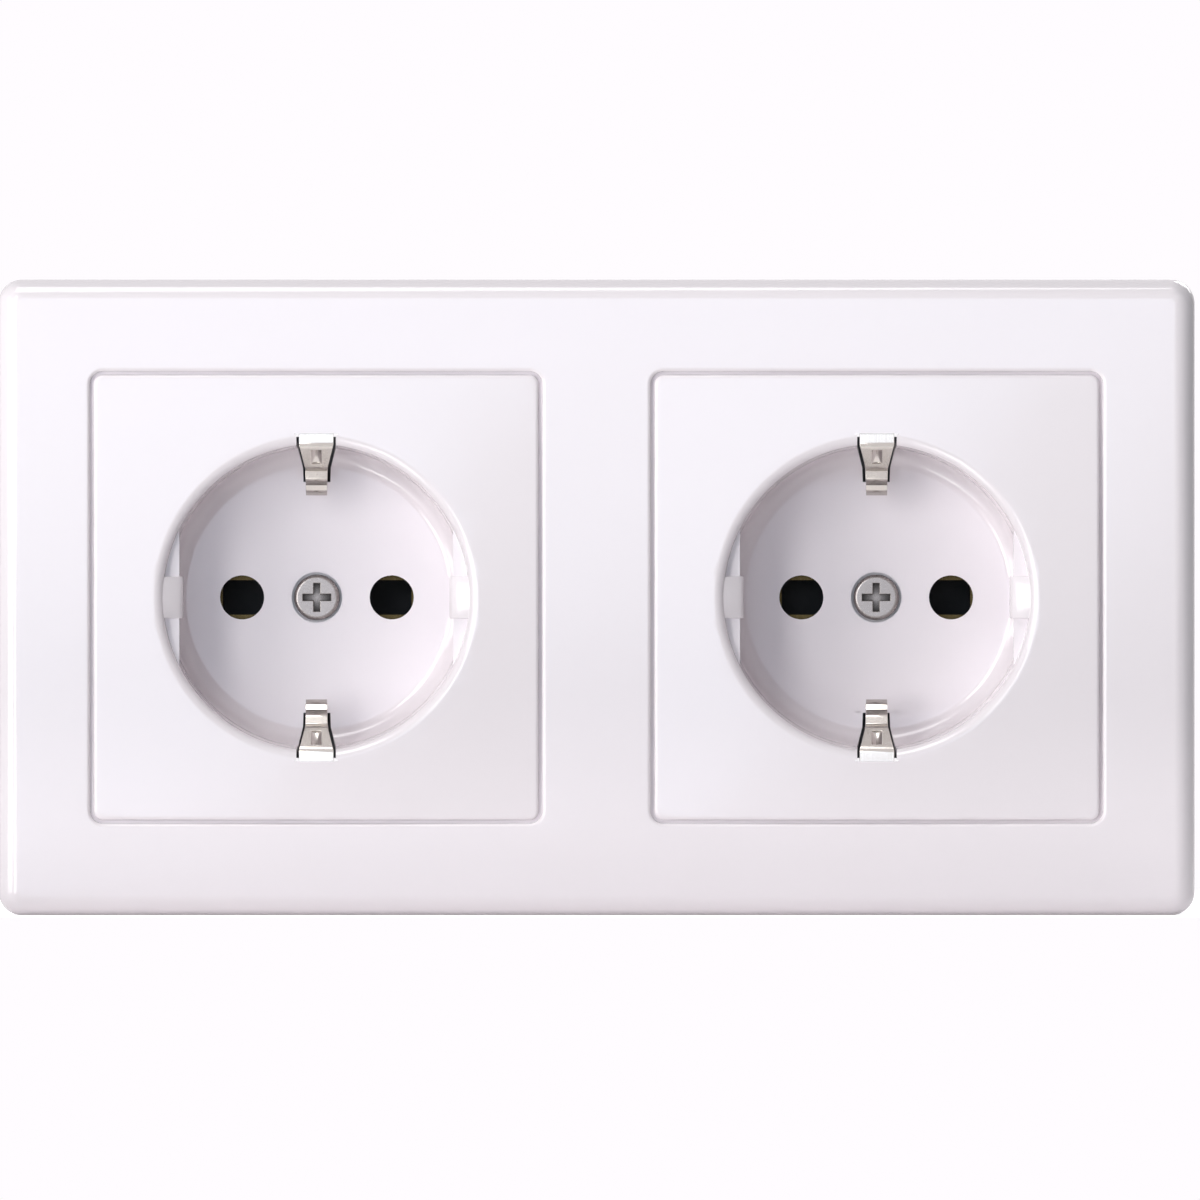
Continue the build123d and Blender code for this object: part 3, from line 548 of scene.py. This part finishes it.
class SocketLooks(PropertyGroup):
    """Colours and gloss of the finishes."""

    white: FloatVectorProperty(
        name="White", description="Frame and plates",
        subtype="COLOR", size=3, min=0, max=1, default=linear("#F0E9EC"))
    white_gloss: FloatProperty(
        name="White roughness", description="Roughness of the frame and plates",
        subtype="FACTOR", min=0, max=1, default=0.1)
    housing: FloatVectorProperty(
        name="Housing", description="Carrier and terminal cover",
        subtype="COLOR", size=3, min=0, max=1, default=linear("#2E3034"))
    grey: FloatVectorProperty(
        name="Grey", description="Release buttons of the live poles",
        subtype="COLOR", size=3, min=0, max=1, default=linear("#B4B5B4"))
    green: FloatVectorProperty(
        name="Green", description="Release button of the earth",
        subtype="COLOR", size=3, min=0, max=1, default=linear("#5C9147"))
    nickel: FloatVectorProperty(
        name="Nickel", description="Earth brackets",
        subtype="COLOR", size=3, min=0, max=1, default=linear("#C9C4BE"))
    screw: FloatVectorProperty(
        name="Screw", description="Central screws",
        subtype="COLOR", size=3, min=0, max=1, default=linear("#918C8A"))
    zinc: FloatVectorProperty(
        name="Zinc", description="Ring, rivets, claws and their screws",
        subtype="COLOR", size=3, min=0, max=1, default=linear("#C3C8CC"))
    # The brass is painted dark all over as painted shade, so that the contacts deep in the pin holes
    # read as black.
    brass: FloatVectorProperty(
        name="Brass", description="Pin contacts and earth terminals, darkened",
        subtype="COLOR", size=3, min=0, max=1, default=linear("#4A4029"))
    steel: FloatVectorProperty(
        name="Spring steel", description="Clamp springs",
        subtype="COLOR", size=3, min=0, max=1, default=linear("#B9BABB"))
    paper: FloatVectorProperty(
        name="Paper", description="Floor",
        subtype="COLOR", size=3, min=0, max=1, default=linear("#F4F2F3"))
    paper_glow: FloatProperty(
        name="Paper glow", description="Brightness that the camera adds to the floor",
        subtype="FACTOR", min=0, max=1, default=0.62)


class SocketSizes(PropertyGroup):
    """Sizes of the added detail and of the view."""

    strip_edge: FloatProperty(
        name="Strip edge", description="Rounding of the edges of spring strip",
        unit="LENGTH", min=0, max=0.3 * MM, default=0.06 * MM)
    screw_edge: FloatProperty(
        name="Screw edge", description="Rounding of the central screws' edges",
        unit="LENGTH", min=0, max=0.3 * MM, default=0.08 * MM)
    stamped_edge: FloatProperty(
        name="Stamped edge", description="Rounding of stamped metal, ramps and claw screws",
        unit="LENGTH", min=0, max=0.5 * MM, default=0.12 * MM)
    moulded_edge: FloatProperty(
        name="Moulded edge", description="Rounding of the housings and release buttons",
        unit="LENGTH", min=0, max=0.5 * MM, default=0.2 * MM)
    window_gap: FloatProperty(
        name="Window gap", description="Earth contact to the edge of its window",
        unit="LENGTH", min=0.1 * MM, max=0.5 * MM, default=0.3 * MM)
    cheek_wall: FloatProperty(
        name="Cheek wall", description="Thickness of the window's cheeks",
        unit="LENGTH", min=0.2 * MM, max=1.2 * MM, default=0.6 * MM)
    ramp_width: FloatProperty(
        name="Ramp width", description="Width of the guide ramps",
        unit="LENGTH", min=2 * MM, default=5.3 * MM)
    groove_depth: FloatProperty(
        name="Groove depth", description="Plate's crest to the step that closes the groove",
        unit="LENGTH", min=0.6 * MM, default=1.5 * MM)
    screw_head: FloatProperty(
        name="Screw head", description="Height of a claw screw's head; its slot is half as deep",
        unit="LENGTH", min=0.5 * MM, default=1.9 * MM)
    screw_slot: FloatProperty(
        name="Screw slot", description="Width of a claw screw's slot",
        unit="LENGTH", min=0.2 * MM, default=0.8 * MM)
    thread_radius: FloatProperty(
        name="Thread radius", description="Radius over the crests of a claw screw's thread",
        unit="LENGTH", min=0.5 * MM, default=1.5 * MM)
    thread_depth: FloatProperty(
        name="Thread depth", description="Crest to root",
        unit="LENGTH", min=0.05 * MM, default=0.29 * MM)
    thread_pitch: FloatProperty(
        name="Thread pitch", description="Crest to crest",
        unit="LENGTH", min=0.2 * MM, default=0.5 * MM)
    thread_flat: FloatProperty(
        name="Thread flat", description="Share of the pitch that is flat at crest and root",
        subtype="FACTOR", min=0, max=0.4, default=0.12)
    camera_distance: FloatProperty(
        name="Camera distance", description="From the camera to the socket's front",
        unit="LENGTH", min=0.5, default=6.0)
    picture_width: FloatProperty(
        name="Picture width", description="Width of the view at the socket's front",
        unit="LENGTH", min=0.05, default=0.1519)


class SOCKET_OT_cover_frame(Operator):
    """Give the cover frame its polished white finish"""

    bl_idname = "socket.cover_frame"
    bl_label = "Cover Frame"

    def execute(self, context):
        dress(["cover_frame"], gloss_white_polycarbonate(context.scene.socket_looks))
        return {"FINISHED"}


class SOCKET_OT_central_plates(Operator):
    """Give the central plates the same white as the frame"""

    bl_idname = "socket.central_plates"
    bl_label = "Central Plates"

    def execute(self, context):
        dress(each("central_plate"), made_finish(WHITE_FINISH))
        return {"FINISHED"}


class SOCKET_OT_plate_details(Operator):
    """Add the window cheeks, guide ramps and groove steps of the central plates"""

    bl_idname = "socket.plate_details"
    bl_label = "Plate Details"

    def execute(self, context):
        material = made_finish(WHITE_FINISH)
        for gang in GANGS:
            low, high = (Vector(corner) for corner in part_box(f"{gang}_central_plate"))
            place = Vector(((low.x + high.x) / 2, low.y, (low.z + high.z) / 2))
            for make in (window_cheeks, guide_ramps, groove_step):
                form = make(place, context.scene.socket_sizes)
                new_piece(f"{gang}_{make.__name__}", form, material, "socket")
        return {"FINISHED"}


class SOCKET_OT_earth_brackets(Operator):
    """Give the earth brackets and central screws bright nickel"""

    bl_idname = "socket.earth_brackets"
    bl_label = "Earth Brackets and Screws"

    def execute(self, context):
        looks, sizes = context.scene.socket_looks, context.scene.socket_sizes
        strip = rolled_strip("nickel_plated_spring_strip", looks.nickel, roughness=0.2, along=Z_AXIS)
        dress(each("earth_bracket"), strip, sizes.strip_edge)
        screw = rolled_strip("nickel_plated_pressed_steel", looks.screw, roughness=0.28, along=Y_AXIS)
        # Painted shade darkens the recess in each screw's head.
        paint_recess_shade(screw)
        dress(each("central_screw"), screw, sizes.screw_edge)
        return {"FINISHED"}


class SOCKET_OT_housings(Operator):
    """Give both halves of the insert housings their dull dark moulding"""

    bl_idname = "socket.housings"
    bl_label = "Insert Housings"

    def execute(self, context):
        looks, sizes = context.scene.socket_looks, context.scene.socket_sizes
        dark = eroded_polyamide("spark_eroded_dark_polyamide", looks.housing, roughness=0.55)
        dress(each("contact_carrier", "terminal_cover"), dark, sizes.moulded_edge)
        return {"FINISHED"}


class SOCKET_OT_release_buttons(Operator):
    """Colour the release buttons: grey for the live poles, green for the earth"""

    bl_idname = "socket.release_buttons"
    bl_label = "Release Buttons"

    def execute(self, context):
        looks, sizes = context.scene.socket_looks, context.scene.socket_sizes
        grey = eroded_polyamide("spark_eroded_grey_polyamide", looks.grey, roughness=0.5)
        green = eroded_polyamide("spark_eroded_green_polyamide", looks.green, roughness=0.5)
        dress(each("line_release_button", "neutral_release_button"), grey, sizes.moulded_edge)
        dress(each("earth_release_button"), green, sizes.moulded_edge)
        return {"FINISHED"}


class SOCKET_OT_plated_fittings(Operator):
    """Give rings, rivets, claws, nuts and claw screws their zinc"""

    bl_idname = "socket.plated_fittings"
    bl_label = "Rings, Rivets and Claws"

    def execute(self, context):
        zinc = zinc_plated_steel(context.scene.socket_looks)
        width = context.scene.socket_sizes.stamped_edge
        dress(each("support_ring", "ring_rivets", "housing_rivets"), zinc, width)
        fittings = [f"{claw}_{piece}" for claw in CLAWS for piece in ("claw", "claw_nut", "claw_screw")]
        dress(each(*fittings), zinc, width)
        return {"FINISHED"}


class SOCKET_OT_claw_screws(Operator):
    """Put threaded screws in the place of the plain claw screws"""

    bl_idname = "socket.claw_screws"
    bl_label = "Claw Screws"

    def execute(self, context):
        zinc = made_finish(ZINC_FINISH)
        for stem in each(*CLAWS):
            node = f"{stem}_claw_screw"
            form = threaded_screw(node, context.scene.socket_sizes)
            screw = new_piece(f"{stem}_threaded_screw", form, zinc, node)
            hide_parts(node)
        return {"FINISHED"}


class SOCKET_OT_contacts(Operator):
    """Give the contacts and earth terminals rolled brass, and the clamp springs bare steel"""

    bl_idname = "socket.contacts"
    bl_label = "Contacts and Clamp Springs"

    def execute(self, context):
        looks, sizes = context.scene.socket_looks, context.scene.socket_sizes
        brass = rolled_strip("rolled_brass_strip", looks.brass, roughness=0.28, along=Y_AXIS)
        dress(each("line_contact", "neutral_contact", "earth_terminal"), brass, sizes.strip_edge)
        steel = rolled_strip("rolled_spring_steel", looks.steel, roughness=0.26, along=Y_AXIS)
        dress(each(*[f"{pole}_clamp_spring" for pole in POLES]), steel, sizes.strip_edge)
        return {"FINISHED"}


class SOCKET_OT_stage(Operator):
    """Set up the floor, the lamps, the white surroundings and the camera"""

    bl_idname = "socket.stage"
    bl_label = "Studio"

    def execute(self, context):
        scene = context.scene
        scene.view_settings.view_transform = "Standard"
        self.floor(scene)
        self.surroundings(scene)
        # Key from the left and a little above: its shadow fills the left of each well.
        self.lamp("key", side=-23, height=5, distance=1.8, size=(0.4, 1.2), power=9.85)
        # Boards at the left, above and below brighten three edges and leave the right in shade.
        self.lamp("left_board", side=-50, height=0, distance=1.6, size=(0.8, 0.8), power=8.8)
        self.lamp("top_board", side=-26, height=62, distance=1.6, size=(0.8, 0.8), power=10.0)
        self.lamp("low_board", side=-34, height=-46, distance=1.6, size=(0.8, 0.8), power=9.8)
        # Cool panel in front, up and to the left: its edge draws the soft diagonal sheen.
        self.panel()
        # Lamp from behind and above for the terminal side.
        self.lamp("rear", side=150, height=35, distance=1.8, size=(0.9, 0.9), power=14.0)
        self.camera(scene)
        return {"FINISHED"}

    def floor(self, scene):
        """Paper under the lower edge of the frame."""
        mesh = bpy.data.meshes.new("floor")
        level = CAD_LOW[2]
        mesh.from_pydata([(-PAPER_REACH, -PAPER_LIP, level), (PAPER_REACH, -PAPER_LIP, level),
                          (PAPER_REACH, PAPER_REACH, level), (-PAPER_REACH, PAPER_REACH, level)],
                         [], [(0, 1, 2, 3)])
        floor = bpy.data.objects.new("floor", mesh)
        mesh.materials.append(matt_white_paper(scene.socket_looks))
        scene.collection.objects.link(floor)

    def surroundings(self, scene):
        """White to the eye and in reflections, dimmer as a light."""
        world = bpy.data.worlds.new("white_studio")
        world.use_nodes = True
        tree = world.node_tree
        tree.nodes.clear()
        fill = add(tree, "ShaderNodeBackground",
                   {"Color": tinted(linear(FILL_COLOUR), 1), "Strength": FILL_STRENGTH})
        white = add(tree, "ShaderNodeBackground",
                    {"Color": tinted(linear(SEEN_COLOUR), 1), "Strength": SEEN_STRENGTH})
        both = add(tree, "ShaderNodeMixShader",
                   links={0: seen_directly(tree), 1: fill.outputs["Background"],
                          2: white.outputs["Background"]})
        add(tree, "ShaderNodeOutputWorld", links={"Surface": both.outputs["Shader"]})
        scene.world = world

    def lamp(self, name, side, height, distance, size, power):
        """Lamp aimed at the socket; side and height are degrees off the front, right and up."""
        side, height = math.radians(side), math.radians(height)
        place = Vector((math.sin(side) * math.cos(height), -math.cos(side) * math.cos(height),
                        math.sin(height)))
        lamp = bpy.data.objects.new(name, bpy.data.lights.new(name, "AREA"))
        lamp.data.shape = "RECTANGLE"
        lamp.data.size, lamp.data.size_y = size
        lamp.data.energy = power
        lamp.location = place * distance
        lamp.rotation_euler = (-place).to_track_quat("-Z", "Y").to_euler()
        lamp.visible_camera = False
        bpy.context.scene.collection.objects.link(lamp)
        return lamp

    def panel(self):
        """Leaning panel, with its lower right edge just past the line of sight."""
        width, past, lean = 2.0, 0.07, math.radians(34)
        lamp = self.lamp("panel", side=0, height=0, distance=8.0, size=(width, width), power=30.5)
        lamp.data.color = linear(PANEL_COLOUR)
        step = width / 2 - past
        lamp.location.x -= step * math.cos(lean)
        lamp.location.z += step * math.sin(lean)
        lamp.rotation_euler = (math.radians(90), lean, 0)

    def camera(self, scene):
        """Straight on from far away, as in the photograph."""
        sizes = scene.socket_sizes
        camera = bpy.data.objects.new("camera", bpy.data.cameras.new("camera"))
        camera.data.sensor_width = SENSOR_WIDTH
        camera.data.lens = SENSOR_WIDTH * sizes.camera_distance / sizes.picture_width
        camera.data.clip_end = VIEW_REACH
        camera.location = (AIM_RIGHT * MM, CAD_LOW[1] - sizes.camera_distance, AIM_UP * MM)
        camera.rotation_euler = (math.radians(90), 0, 0)
        scene.collection.objects.link(camera)
        scene.camera = camera


OPERATORS = (SOCKET_OT_cover_frame, SOCKET_OT_central_plates, SOCKET_OT_plate_details,
             SOCKET_OT_earth_brackets, SOCKET_OT_housings, SOCKET_OT_release_buttons,
             SOCKET_OT_plated_fittings, SOCKET_OT_claw_screws, SOCKET_OT_contacts, SOCKET_OT_stage)


class SOCKET_PT_pieces(Panel):
    """Lists the colours, the sizes and the operators in the sidebar"""

    bl_idname = "SOCKET_PT_pieces"
    bl_label = "Wall Socket"
    bl_space_type = "VIEW_3D"
    bl_region_type = "UI"
    bl_category = "Wall Socket"

    def draw(self, context):
        layout = self.layout
        for group in (context.scene.socket_looks, context.scene.socket_sizes):
            box = layout.box()
            for name in group.__annotations__:
                box.prop(group, name)
        for operator in OPERATORS:
            layout.operator(operator.bl_idname)


CLASSES = (SocketLooks, SocketSizes, *OPERATORS, SOCKET_PT_pieces)


def register():
    """Register the classes and hang the settings on the scene."""
    for item in CLASSES:
        bpy.utils.register_class(item)
    bpy.types.Scene.socket_looks = PointerProperty(type=SocketLooks)
    bpy.types.Scene.socket_sizes = PointerProperty(type=SocketSizes)


def unregister():
    """Take the settings and the classes away again."""
    del bpy.types.Scene.socket_sizes
    del bpy.types.Scene.socket_looks
    for item in reversed(CLASSES):
        bpy.utils.unregister_class(item)


def main():
    """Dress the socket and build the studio."""
    register()
    bpy.ops.socket.cover_frame()
    bpy.ops.socket.central_plates()
    bpy.ops.socket.plate_details()
    bpy.ops.socket.earth_brackets()
    bpy.ops.socket.housings()
    bpy.ops.socket.release_buttons()
    bpy.ops.socket.plated_fittings()
    bpy.ops.socket.claw_screws()
    bpy.ops.socket.contacts()
    bpy.ops.socket.stage()


if __name__ == "__main__":
    main()
